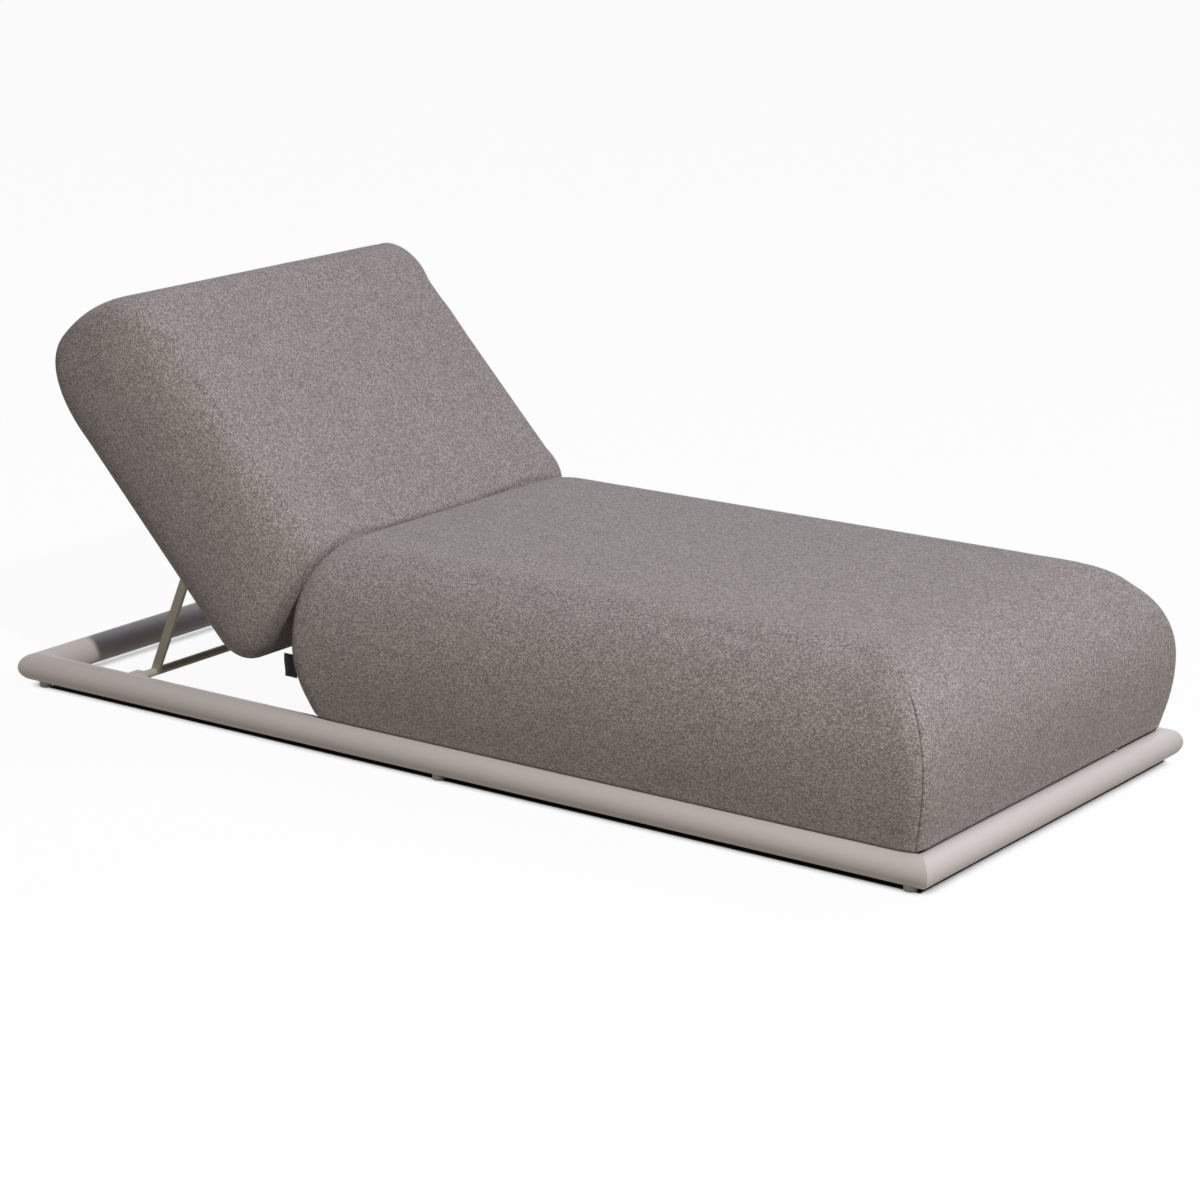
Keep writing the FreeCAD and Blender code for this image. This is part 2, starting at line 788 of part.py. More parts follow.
# The buffers meet the head rail when the back is at its lowest
low_turn = math.radians(recline_low)
rail_dx = -rail_x - hinge_x
rail_dz = rail_z - hinge_z
buffer_u = -rail_dx * math.cos(low_turn) + rail_dz * math.sin(low_turn)
rail_n = rail_dx * math.sin(low_turn) + rail_dz * math.cos(low_turn)
buffer_end_n = rail_n + rail_radius + soft_gap


def buffer(side):
    start = Vector(-buffer_u, side * back_half_wide, frame_bottom)
    wide = buffer_diameter / 2
    return Part.makeCone(wide, wide - buffer_taper, frame_bottom - buffer_end_n,
                         start, Vector(0, 0, -1))


parts["back_lower_rail"] = lay_back(back_end_rail(-back_frame_start - back_tube / 2, -90))
parts["back_upper_rail"] = lay_back(back_end_rail(-back_frame_end + back_tube / 2, 90))
slat_room = back_frame_end - back_frame_start - 2 * back_tube
back_slat_pitch = slat_room / back_slat_count
for i in range(back_slat_count):
    slat_u = back_frame_start + back_tube + (i + 1 / 2) * back_slat_pitch
    parts["back_slat_%d" % (i + 1)] = lay_back(back_slat(slat_u))
for name, side in sides.items():
    parts[name + "_back_rail"] = lay_back(back_side_rail(side))
    parts[name + "_hinge_lug"] = lay_back(hinge_lug(side))
    parts[name + "_rack_plate"] = lay_back(rack_plate(side))
parts["hinge_bushes"] = lay_back(Part.makeCompound([hinge_bush(s) for s in sides.values()]))
parts["buffers"] = lay_back(Part.makeCompound([buffer(s) for s in sides.values()]))
pairs = [(u, side) for u in rack_bolt_us for side in sides.values()]
parts["rack_spacers"] = lay_back(Part.makeCompound([rack_spacer(u, s) for u, s in pairs]))
parts["rack_bolts"] = lay_back(Part.makeCompound([rack_bolt(u, s) for u, s in pairs]))


# Cushions
def inset(share, depth):
    """How far a rounded edge has drawn in at a share of its height."""
    power = round_power_share
    return depth * (1 - (1 - share ** power) ** (1 / power))


def band_share(i, count):
    """Share of the height where equal turns of the rounded edge end."""
    return math.sin(math.pi / 2 * i / count) ** (2 / round_power_share)


def section(x_low, x_high, half_width, radius, z):
    """Rounded rectangle at one height."""
    tip = radius * (1 - math.sqrt(1 / 2))
    a, b, c, d = x_low, x_high, -half_width, half_width
    arcs = [
        (Vector(a, c + radius, z), Vector(a + tip, c + tip, z), Vector(a + radius, c, z)),
        (Vector(b - radius, c, z), Vector(b - tip, c + tip, z), Vector(b, c + radius, z)),
        (Vector(b, d - radius, z), Vector(b - tip, d - tip, z), Vector(b - radius, d, z)),
        (Vector(a + radius, d, z), Vector(a + tip, d - tip, z), Vector(a, d - radius, z)),
    ]
    edges = []
    for i, arc in enumerate(arcs):
        edges.append(Part.Arc(*arc).toShape())
        edges.append(Part.LineSegment(arc[2], arcs[(i + 1) % len(arcs)][0]).toShape())
    return Part.Wire(edges)


def levels(widest, height, low_bands, top_bands):
    """Heights of the sections with the share of the lower or upper edge rounding."""
    found = []
    for i in range(low_bands + 1):
        share = band_share(low_bands - i, low_bands)
        found.append((widest * (1 - share), share, 0))
    for i in range(1, top_bands + 1):
        share = band_share(i, top_bands)
        found.append((widest + (height - widest) * share, 0, share))
    return found


def crown(x_low, x_high, half, radius, z, rise, spread):
    """Shallow dome on a cushion's flat rim."""
    wires = []
    for inset_share, height_share in zip(crown_inset_shares, crown_height_shares):
        step = spread * inset_share
        wires.append(section(x_low + step, x_high - step, half - step,
                             radius, z + rise * height_share))
    return Part.makeLoft(wires, True, True)


def seat_form(shrink, low_bands, top_bands):
    """Seat cushion, drawn in all round by the given amount."""
    base = rail_top + soft_gap
    wires = []
    for height, low, top in levels(seat_widest_height, seat_height, low_bands, top_bands):
        half = seat_half - seat_tuck_side * low ** 2 - inset(top, seat_round_side)
        x_low = seat_head + seat_tuck_head * low ** 2 + inset(top, seat_round_head)
        x_high = seat_foot - seat_tuck_foot * low ** 2 - inset(top, seat_round_foot)
        radius = seat_corner_low + (seat_corner_top - seat_corner_low) * top ** 2
        squeeze = (seat_height - 2 * shrink) / seat_height
        wires.append(section(x_low + shrink, x_high - shrink, half - shrink,
                             radius, base + shrink + height * squeeze))
    dome = crown(x_low + shrink, x_high - shrink, half - shrink, radius,
                 base + seat_height - shrink, seat_crown, seat_crown_inset)
    return Part.makeLoft(wires, True, True).fuse(dome)


def back_form(shrink, low_bands, top_bands):
    """Back cushion lying flat, drawn in all round by the given amount."""
    wires = []
    for height, low, top in levels(back_widest, back_thickness, low_bands, top_bands):
        sides_in = inset(low, back_round_side_rear) + inset(top, back_round_side_front)
        high_in = inset(low, back_round_high_rear) + inset(top, back_round_high_front)
        low_in = inset(low, back_round_low_rear) + inset(top, back_round_low_front)
        half = back_half - sides_in
        u_low = -back_low_end + back_end_slope_share * height + low_in
        u_high = back_high_end - high_in
        radius = back_corner
        squeeze = (back_thickness - 2 * shrink) / back_thickness
        wires.append(section(-u_high + shrink, -u_low - shrink, half - shrink,
                             radius, -back_drop + shrink + height * squeeze))
    dome = crown(-u_high + shrink, -u_low - shrink, half - shrink, radius,
                 -back_drop + back_thickness - shrink, back_crown, back_crown_inset)
    return Part.makeLoft(wires, True, True).fuse(dome)


def cover_and_core(form):
    outer = form(0, cover_low_bands, cover_top_bands)
    hollow = form(cover_thickness, core_low_bands, core_top_bands)
    core = form(cover_thickness + core_gap, core_low_bands, core_top_bands)
    return outer.cut(hollow), core


def label_tab():
    """Plain sewn tab that stands out of the seat cover's corner seam."""
    side_y = -seat_half + tab_inboard
    low_z = rail_top + tab_rise
    low = (seat_head - tab_reach, side_y, low_z)
    high = (seat_head + seat_corner_low, side_y + tab_thickness, low_z + tab_height)
    return block(low, high).cut(
        seat_form(-soft_gap, cover_low_bands, cover_top_bands))


seat_cover, seat_core = cover_and_core(seat_form)
back_cover, back_core = cover_and_core(back_form)
parts["seat_cushion_cover"] = seat_cover
parts["seat_cushion_foam"] = seat_core
parts["seat_tab"] = label_tab()
parts["back_cushion_cover"] = lay_back(back_cover)
parts["back_cushion_foam"] = lay_back(back_core)

os.makedirs("parts", exist_ok=True)
for name, shape in parts.items():
    shape.exportStep("parts/" + name + ".step")
print("sub-parts written:", len(parts))
print("back turns %.3f degrees down" % (recline_raised - recline_low))
print("prop turns %.3f degrees down" % (prop_low_angle - prop_rise_angle))
print("prop ratio %.5f, arm length %.3f" % (prop_ratio, arm_length))
print("hinge at", tuple(hinge), "prop axle at", tuple(prop))
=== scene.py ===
# %% [markdown]
# # Dressing a relaxation lounger
# The construction of this lounger is already packed: rails, slats, hinge, rack plates and a
# plain solid for each cushion. Here it gets its looks. Everything is in metres, +X runs to the
# foot end, +Y to the left of a person lying on it, and the floor is at Z = 0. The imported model
# is loaded first, because each new piece is placed by it.

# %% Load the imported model
import math

import bpy
import numpy as np
from mathutils import Matrix, Vector


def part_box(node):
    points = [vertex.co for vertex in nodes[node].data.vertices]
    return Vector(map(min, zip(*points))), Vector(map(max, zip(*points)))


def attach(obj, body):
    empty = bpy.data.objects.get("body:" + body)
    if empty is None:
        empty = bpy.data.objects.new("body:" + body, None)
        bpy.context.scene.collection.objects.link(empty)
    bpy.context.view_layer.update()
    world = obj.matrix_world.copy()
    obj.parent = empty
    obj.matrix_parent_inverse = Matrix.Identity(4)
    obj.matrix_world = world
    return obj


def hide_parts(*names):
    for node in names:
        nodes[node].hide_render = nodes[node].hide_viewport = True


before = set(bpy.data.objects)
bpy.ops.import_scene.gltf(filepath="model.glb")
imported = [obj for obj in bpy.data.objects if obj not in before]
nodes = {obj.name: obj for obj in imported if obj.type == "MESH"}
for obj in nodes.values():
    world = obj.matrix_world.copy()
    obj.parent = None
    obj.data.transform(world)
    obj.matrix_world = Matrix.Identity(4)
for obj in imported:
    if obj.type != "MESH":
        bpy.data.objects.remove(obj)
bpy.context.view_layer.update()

scene = bpy.context.scene
print("nodes loaded:", len(nodes))

# %% [markdown]
# ## Camera
# A product photograph is usually taken with a long lens from a little above, so that the far
# end of a long piece doesn't shrink. The camera could be aimed by eye, but its place, turn and
# lens were worked out from the frame's four rails in the photograph, which is exact. It stands
# at the foot corner and looks down by 15 degrees, with a lens of about 103 mm.

# %% Camera
camera_turn = 36.07
camera_dip = 15.27
camera_data = bpy.data.cameras.new("camera")
camera_data.sensor_width = 36
camera_data.lens = 102.84
camera_data.clip_end = 200
camera = bpy.data.objects.new("camera", camera_data)
camera.location = (3.6544, -4.9515, 1.9173)
camera.rotation_euler = (math.radians(90 - camera_dip), 0, math.radians(camera_turn))
scene.collection.objects.link(camera)
scene.camera = camera
print("lens in mm:", round(camera_data.lens, 1))

# %% [markdown]
# ## Light
# The photograph has one clear light from the foot end, high and a little towards the camera: it
# throws the back cushion's shadow on the rail behind it. A sun would do, but a lamp about ten
# metres away is also a little stronger at the foot than at the head, as in the photograph. A
# soft, cooler light comes from above the far side and gives the seat's top its bluish tone.
# Three weak ones fill the foot end, the near side and the back. A level of one shows a colour
# just as it is written, on a surface that faces the lamp. No surface faces them all, so together
# with the dim world they come to about one.

# %% Lamps
warm = (1.0, 0.985, 0.97)
cool = (0.95, 1.0, 1.27)


def add_lamp(name, kind, energy, colour, towards, place=(0, 0, 0), **settings):
    data = bpy.data.lights.new(name, kind)
    data.energy, data.color = energy, colour
    for label, value in settings.items():
        setattr(data, label, value)
    lamp = bpy.data.objects.new(name, data)
    lamp.location = place
    lamp.rotation_euler = Vector(towards).to_track_quat("Z", "Y").to_euler()
    scene.collection.objects.link(lamp)
    return lamp


def add_sun(name, towards, level, colour, softness):
    return add_lamp(name, "SUN", level * math.pi, colour, towards, angle=math.radians(softness))


def add_round_lamp(name, place, target, level, colour, width):
    """A disc that lights a surface at the target as much as a sun of that level does."""
    way = Vector(place) - Vector(target)
    return add_lamp(name, "AREA", level * math.pi ** 2 * way.length_squared, colour, way, place,
                    shape="DISK", size=width)


lamps = [
    add_round_lamp("key", place=(6.70, -3.80, 7.35), target=(0.7, -0.3, 0.2), level=0.71,
                   colour=warm, width=0.35),
    add_sun("far_top", towards=(0.12, 0.58, 0.80), level=0.32, colour=cool, softness=35),
    add_round_lamp("foot_box", place=(3.4, -1.3, 0.8), target=(1.0, -0.4, 0.2), level=0.08,
                   colour=(0.95, 0.99, 1.06), width=1.0),
    add_sun("side", towards=(-0.15, -0.95, 0.15), level=0.12, colour=warm, softness=30),
    add_sun("far_low", towards=(-0.55, 0.83, 0.06), level=0.12, colour=(1, 1, 1), softness=40)]
print("lamps:", [lamp.name for lamp in lamps])

# %% [markdown]
# ## Node helpers
# A world or a material is a tree of nodes, and most lines of it only add a node, set a value and
# link it. That could be done by hand in the node editor, but a script can be read again. A few
# small helpers keep its lines short. A socket is named by its label, as in Base_Color, or by its
# number, as in in_0.


# %% Node helpers
def feed(tree, socket, value):
    """Links a socket to another node's output, or sets it to a constant."""
    if isinstance(value, bpy.types.NodeSocket):
        tree.links.new(value, socket)
    else:
        socket.default_value = value


def add_node(tree, kind, settings=None, **inputs):
    node = tree.nodes.new(kind)
    for name, value in (settings or {}).items():
        setattr(node, name, value)
    for name, value in inputs.items():
        socket = node.inputs[int(name[3:]) if name.startswith("in_") else name.replace("_", " ")]
        feed(tree, socket, value)
    return node


def maths(tree, operation, *values, clamp=False):
    node = add_node(tree, "ShaderNodeMath", {"operation": operation, "use_clamp": clamp})
    for socket, value in zip(node.inputs, values):
        feed(tree, socket, value)
    return node.outputs[0]


def seen_directly(tree):
    """One where a ray comes from the camera, or by way of gloss or glass."""
    path = tree.nodes.new("ShaderNodeLightPath")
    seen = maths(tree, "ADD", path.outputs["Is Camera Ray"], path.outputs["Is Glossy Ray"])
    return maths(tree, "ADD", seen, path.outputs["Is Transmission Ray"], clamp=True)


print("helpers ready")

# %% [markdown]
# ## World
# A studio has white walls, dim at the head end and brighter at the foot end. They could be built,
# but an evenly coloured dome whose strength grows along X lights the piece in the same way. What
# the camera sees behind the lounger is plain white, so the two are mixed by the kind of ray.

# %% World
world = bpy.data.worlds.new("studio")
scene.world = world
world.use_nodes = True
sky = world.node_tree
sky.nodes.clear()
ray = sky.nodes.new("ShaderNodeTexCoord")
ray_parts = add_node(sky, "ShaderNodeSeparateXYZ", in_0=ray.outputs["Generated"])
dimming = add_node(sky, "ShaderNodeMapRange", Value=ray_parts.outputs["X"], From_Min=-1,
                   To_Min=0.02, To_Max=0.13)
dome = add_node(sky, "ShaderNodeBackground", Color=(1.0, 0.955, 0.935, 1),
                Strength=dimming.outputs[0])
backdrop = add_node(sky, "ShaderNodeBackground", Color=(1, 1, 1, 1), Strength=1)
by_ray = add_node(sky, "ShaderNodeMixShader", in_0=seen_directly(sky), in_1=dome.outputs[0],
                  in_2=backdrop.outputs[0])
add_node(sky, "ShaderNodeOutputWorld", in_0=by_ray.outputs[0])
scene.view_settings.view_transform = "Standard"
print("world nodes:", len(sky.nodes))

# %% [markdown]
# ## Painted contact shadow
# In the photograph a thin dark line of shadow runs just under the rails, where tube and floor
# almost touch. Ambient occlusion could find that place, but it gives a wide and noisy band. So
# this contact shadow is painted on the floor by the distance from the rails' centre lines. It is
# shifted a little away from the camera, to be just the part that shows below the tube, and ends
# at the two far corners. The value is 0 on the painted shadow and 1 beside it.

# %% Painted contact shadow
foot_low, foot_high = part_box("foot_rail")
rail_radius = (foot_high.x - foot_low.x) / 2
line_half, line_softness = 0.0140, 0.002
line_shift = (0.0125, -0.0100)
line_start_x, line_end_y = -0.970, 0.435


def away_from_painted_shadow(tree):
    coords = tree.nodes.new("ShaderNodeTexCoord")
    spot = add_node(tree, "ShaderNodeSeparateXYZ", in_0=coords.outputs["Object"])
    past_centre = [
        maths(tree, "SUBTRACT", maths(tree, "ABSOLUTE", maths(tree, "ADD", place, shift)),
              high - rail_radius)
        for place, shift, high in zip(spot.outputs, line_shift, foot_high)]
    off_line = maths(tree, "ABSOLUTE", maths(tree, "MAXIMUM", *past_centre))
    edge = add_node(tree, "ShaderNodeMapRange", Value=off_line,
                    From_Min=line_half - line_softness, From_Max=line_half + line_softness)
    past_ends = maths(tree, "MAXIMUM", maths(tree, "LESS_THAN", spot.outputs["X"], line_start_x),
                      maths(tree, "GREATER_THAN", spot.outputs["Y"], line_end_y))
    return maths(tree, "MAXIMUM", edge.outputs[0], past_ends)


print("contact line's width in mm:", line_half * 2000)

# %% [markdown]
# ## Floor
# The lounger stands on a plain pale floor. To the camera it is nearly white and keeps a soft
# shadow only under the slats, where ambient occlusion finds most of the sky covered. To the
# light that bounces back up it is a mid grey, so the lower edges of the cushions stay as dark as
# in the photograph. One paint could not do both, so two are mixed by the kind of ray.

# %% Floor
floor_size, floor_depth = 60, 0.0003
glow_share = 0.95
bpy.ops.mesh.primitive_plane_add(size=floor_size, location=(0, 0, -floor_depth))
floor = bpy.context.object
floor.name = "floor"
floor_paint = bpy.data.materials.new("floor")
floor_paint.use_nodes = True
tree = floor_paint.node_tree
tree.nodes.clear()
covered = add_node(tree, "ShaderNodeAmbientOcclusion", {"samples": 8}, Distance=0.20)
under = add_node(tree, "ShaderNodeMapRange", Value=covered.outputs["AO"], From_Min=0.10,
                 From_Max=0.32)
# the floor's white is darkened by the painted contact shadow and by the shadow that ambient
# occlusion finds under the slats
glow = add_node(tree, "ShaderNodeEmission",
                Strength=maths(tree, "MULTIPLY", away_from_painted_shadow(tree), under.outputs[0]))
lit = add_node(tree, "ShaderNodeBsdfDiffuse", Color=(0.93, 0.93, 0.93, 1))
bounce = add_node(tree, "ShaderNodeBsdfDiffuse", Color=(0.36, 0.32, 0.27, 1))
shown = add_node(tree, "ShaderNodeMixShader", in_0=glow_share, in_1=lit.outputs[0],
                 in_2=glow.outputs[0])
by_ray = add_node(tree, "ShaderNodeMixShader", in_0=seen_directly(tree), in_1=bounce.outputs[0],
                  in_2=shown.outputs[0])
add_node(tree, "ShaderNodeOutputMaterial", in_0=by_ray.outputs[0])
floor.data.materials.append(floor_paint)
print("floor size in m:", tuple(round(v) for v in floor.dimensions))

# %% [markdown]
# ## Groups and colour mixing
# A pattern that several finishes share is a node group: it is built once, and each material
# places it with its own values. It could be copied into each material instead, but then a mend
# has to be made many times. Two helpers open a group and link what it puts out, and the other
# two mix and scale colours.


# %% Group helpers
def open_group(name, inputs):
    """A group with these inputs that puts out a colour, a height and a roughness."""
    group = bpy.data.node_groups.new(name, "ShaderNodeTree")
    kinds = {"vector": "NodeSocketVector", "colour": "NodeSocketColor", "value": "NodeSocketFloat"}
    for label, kind, value in inputs:
        socket = group.interface.new_socket(label, in_out="INPUT", socket_type=kinds[kind])
        if value is not None:
            socket.default_value = value
    for label, kind in (("Colour", "colour"), ("Height", "value"), ("Roughness", "value")):
        group.interface.new_socket(label, in_out="OUTPUT", socket_type=kinds[kind])
    return group, group.nodes.new("NodeGroupInput"), group.nodes.new("NodeGroupOutput")


def put_out(group, result, colour, height, roughness):
    for label, value in (("Colour", colour), ("Height", height), ("Roughness", roughness)):
        group.links.new(value, result.inputs[label])


def blend_colours(tree, share, first, second):
    node = add_node(tree, "ShaderNodeMix", {"data_type": "RGBA"})
    for index, value in ((0, share), (6, first), (7, second)):
        feed(tree, node.inputs[index], value)
    return node.outputs[2]


def scale_colour(tree, colour, factor):
    node = add_node(tree, "ShaderNodeVectorMath", {"operation": "SCALE"}, in_0=colour,
                    Scale=factor)
    return node.outputs[0]


print("group helpers ready")

# %% [markdown]
# ## Melange weave
# The covers are a plain weave of mixed yarn: light, mid and brown fibres twisted together. From
# a step away the threads blur and a lively speckle is left. A picture of cloth could be tiled
# over the cover, but a computed pattern has no seams and stays sharp. Each crossing of two
# threads is a small cell with a tone of its own, each thread is streaked along its length, and
# two sine waves round the threads and say which one lies on top.

# %% Threads of the weave
cell_length = 1.5
weave, given, result = open_group(
    "melange_weave",
    [("Place", "vector", None), ("Thread", "value", 0.0026),
     ("Dark", "colour", (0.1, 0.1, 0.1, 1)), ("Light", "colour", (0.5, 0.5, 0.5, 1)),
     ("Speckle", "value", 0.5)])
thread = given.outputs["Thread"]
axes = add_node(weave, "ShaderNodeSeparateXYZ", in_0=given.outputs["Place"])
column = maths(weave, "DIVIDE", axes.outputs["X"], maths(weave, "MULTIPLY", thread, cell_length))
row = maths(weave, "DIVIDE", axes.outputs["Y"], thread)
across = maths(weave, "SINE", maths(weave, "MULTIPLY", column, math.pi))
along = maths(weave, "SINE", maths(weave, "MULTIPLY", row, math.pi))
warp_on_top = maths(weave, "GREATER_THAN", maths(weave, "MULTIPLY", across, along), 0.0)


def choose(share, low, high):
    """Low at a share of zero, high at one."""
    lower = maths(weave, "MULTIPLY", low, maths(weave, "SUBTRACT", 1.0, share))
    return maths(weave, "ADD", lower, maths(weave, "MULTIPLY", high, share))


thread_round = choose(warp_on_top, maths(weave, "ABSOLUTE", along),
                      maths(weave, "ABSOLUTE", across))
print("thread nodes:", len(weave.nodes))

# %% [markdown]
# The tone is a sum of four patterns: a value for each cell, a streak along each thread, single
# fibres, and a very broad and faint change from patch to patch. One noise would be simpler, but
# it looks like sand. The tone then picks a colour between the dark and the light yarn, and the
# sunken edges of the threads are shaded.


# %% Patterns in the yarn
def streak(first, first_scale, second, second_scale, seed, detail=1.0):
    """Noise that is stretched by its two scales; the seed moves it to another place."""
    spot = add_node(weave, "ShaderNodeCombineXYZ",
                    in_0=maths(weave, "MULTIPLY_ADD", first, first_scale, seed),
                    in_1=maths(weave, "MULTIPLY", second, second_scale))
    noise = add_node(weave, "ShaderNodeTexNoise", {"noise_dimensions": "2D"},
                     Vector=spot.outputs[0], Scale=1.0, Detail=detail, Roughness=0.6)
    return noise.outputs["Fac"]


across_scale, along_scale = 3.7, 0.55
fibre_scale, patch_scale = 3.1, 0.028
whole_column, whole_row = maths(weave, "FLOOR", column), maths(weave, "FLOOR", row)
warp_yarn = streak(whole_column, across_scale, row, along_scale, seed=3.1)
weft_yarn = streak(whole_row, across_scale, column, along_scale, seed=57.7)
fibres = streak(column, fibre_scale, row, fibre_scale, seed=11.3, detail=2.0)
patch = streak(column, patch_scale, row, patch_scale, seed=1.7)
cell = add_node(weave, "ShaderNodeCombineXYZ", in_0=whole_column, in_1=whole_row)
cell_tone = add_node(weave, "ShaderNodeTexWhiteNoise", {"noise_dimensions": "2D"},
                     Vector=cell.outputs[0])
print("weave nodes with patterns:", len(weave.nodes))

# %% Colour, height and roughness of the weave
fibre_share, patch_share, fleck_power = 0.2, 0.06, 1.6
edge_shade, round_gain = 0.80, 0.28
fibre_relief, dull, polish = 0.3, 0.98, 0.10
tone = choose(given.outputs["Speckle"], choose(warp_on_top, weft_yarn, warp_yarn),
              cell_tone.outputs["Value"])
tone = maths(weave, "ADD", maths(weave, "MULTIPLY", tone, 1 - fibre_share),
             maths(weave, "MULTIPLY", fibres, fibre_share))
tone = maths(weave, "ADD", tone,
             maths(weave, "MULTIPLY", maths(weave, "SUBTRACT", patch, 0.5), patch_share))
spread = add_node(weave, "ShaderNodeMapRange", Value=tone, From_Min=0.18, From_Max=0.82)
flecks = maths(weave, "POWER", spread.outputs[0], fleck_power)
yarn_colour = blend_colours(weave, flecks, given.outputs["Dark"], given.outputs["Light"])
put_out(weave, result,
        colour=scale_colour(weave, yarn_colour,
                            maths(weave, "MULTIPLY_ADD", thread_round, round_gain, edge_shade)),
        height=maths(weave, "ADD", maths(weave, "MULTIPLY", thread_round, 1 - fibre_relief),
                     maths(weave, "MULTIPLY", fibres, fibre_relief)),
        roughness=maths(weave, "SUBTRACT", dull, maths(weave, "MULTIPLY", thread_round, polish)))
print("weave nodes:", len(weave.nodes))

# %% [markdown]
# ## Powder coat
# The frame is aluminium with a matte textured powder coat. Close up such paint has a fine
# orange peel, and on a used piece a little dust dulls it unevenly. One plain grey would look
# like plastic, so the group gives a colour, a roughness and a height for both.

# %% Powder coat group
dust_scale, dust_dulling, peel_share = 7.0, 2.0, 0.10
coat, given, result = open_group(
    "powder_coat",
    [("Place", "vector", None), ("Paint", "colour", (0.5, 0.5, 0.5, 1)),
     ("Grain", "value", 900.0), ("Dust", "value", 0.05), ("Gloss", "value", 0.5)])
place = given.outputs["Place"]
fine = add_node(coat, "ShaderNodeTexNoise", Vector=place, Scale=given.outputs["Grain"], Detail=2.0)
broad = add_node(coat, "ShaderNodeTexNoise", Vector=place, Scale=dust_scale, Detail=3.0)
dust = maths(coat, "MULTIPLY", maths(coat, "SUBTRACT", broad.outputs["Fac"], 0.5),
             given.outputs["Dust"])
peel = maths(coat, "MULTIPLY", maths(coat, "SUBTRACT", fine.outputs["Fac"], 0.5), peel_share)
brightness = maths(coat, "ADD", peel, maths(coat, "ADD", dust, 1.0))
put_out(coat, result, colour=scale_colour(coat, given.outputs["Paint"], brightness),
        height=fine.outputs["Fac"],
        roughness=maths(coat, "ADD", given.outputs["Gloss"],
                        maths(coat, "MULTIPLY", dust, dust_dulling)))
print("powder coat nodes:", len(coat.nodes))

# %% [markdown]
# ## Slat wood
# The sprung slats are laminated wood: a long grain runs across the lounger, and fine pores run
# with it. A wave texture gives rings too, but too even ones. Noise that is stretched along Y
# gives both.

# %% Slat wood group
ring_scale, pore_scale = (60, 2.2, 60), (900, 25, 900)
smoothest, pore_dulling = 0.42, 0.25
grain, given, result = open_group(
    "slat_grain",
    [("Place", "vector", None), ("Pale", "colour", (0.5, 0.4, 0.3, 1)),
     ("Deep", "colour", (0.3, 0.2, 0.1, 1))])


def stretched_noise(scale, **values):
    place = add_node(grain, "ShaderNodeMapping", in_0=given.outputs["Place"], Scale=scale)
    return add_node(grain, "ShaderNodeTexNoise", Vector=place.outputs[0], Scale=1.0,
                    **values).outputs["Fac"]


rings = stretched_noise(ring_scale, Detail=5.0, Roughness=0.55, Distortion=0.6)
pores = stretched_noise(pore_scale, Detail=1.0)
ring_share = add_node(grain, "ShaderNodeMapRange", Value=rings, From_Min=0.35, From_Max=0.65)
put_out(grain, result,
        colour=blend_colours(grain, ring_share.outputs[0], given.outputs["Pale"],
                             given.outputs["Deep"]),
        height=pores, roughness=maths(grain, "MULTIPLY_ADD", pores, pore_dulling, smoothest))
print("slat wood nodes:", len(grain.nodes))

# %% [markdown]
# ## Finishes
# Each finish is a Principled shader fed by one of the groups. Values that are the same all over
# a piece are typed into the shader itself. The covers read their pattern from a UV map, because
# the weave follows the cloth round the edges. The sewn seams get painted shade in their grooves
# from a mark on the points, where a painted picture would need a second map.


# %% Finish helper and covers
def finish_with(name, group, values, place, bump, distance, **constants):
    material = bpy.data.materials.new(name)
    material.use_nodes = True
    tree = material.node_tree
    shader = tree.nodes["Principled BSDF"]
    coords = tree.nodes.new("ShaderNodeTexCoord")
    placed = add_node(tree, "ShaderNodeGroup", {"node_tree": group})
    for label, value in {"Place": coords.outputs[place], **values}.items():
        feed(tree, placed.inputs[label], value)
    relief = add_node(tree, "ShaderNodeBump", Strength=bump, Distance=distance,
                      Height=placed.outputs["Height"])
    for label, value in {"Base Color": placed.outputs["Colour"],
                         "Roughness": placed.outputs["Roughness"],
                         "Normal": relief.outputs[0], **constants}.items():
        feed(tree, shader.inputs[label.replace("_", " ")], value)
    return material


cover_cloth = finish_with(
    "cover_cloth", weave,
    {"Thread": 0.0018, "Dark": (0.185, 0.160, 0.149, 1), "Light": (0.556, 0.494, 0.472, 1),
     "Speckle": 0.58},
    place="UV", bump=0.45, distance=0.0010, Sheen_Weight=0.10, Sheen_Roughness=0.5,
    Specular_IOR_Level=0.2)
# painted shade in the seam grooves: the seam mark blends the cloth towards this dark colour
seam_darkness, seam_groove_shade = 0.75, (0.035, 0.030, 0.028, 1)
tree = cover_cloth.node_tree
base_colour = tree.nodes["Principled BSDF"].inputs["Base Color"]
seam_mark = add_node(tree, "ShaderNodeAttribute", {"attribute_name": "seam"})
feed(tree, base_colour, blend_colours(
    tree, maths(tree, "MULTIPLY", seam_mark.outputs["Fac"], seam_darkness),
    base_colour.links[0].from_socket, seam_groove_shade))
tab_cloth = finish_with(
    "tab_cloth", weave,
    {"Thread": 0.0006, "Dark": (0.010, 0.010, 0.010, 1), "Light": (0.030, 0.030, 0.031, 1),
     "Speckle": 0.2},
    place="UV", bump=0.5, distance=0.0003, Sheen_Weight=0.1, Specular_IOR_Level=0.3)
print("covers:", cover_cloth.name, tab_cloth.name)

# %% [markdown]
# ## Hard finishes
# Paint, moulded plastic, rubber and steel all have a fine grain and a little dust, so one group
# serves them all, with other values. Their parts are small or plain and carry no UV map, so they
# read the object's own coordinates. A table keeps them side by side, where separate blocks
# would hide how they differ. The slats' wood has its own group.

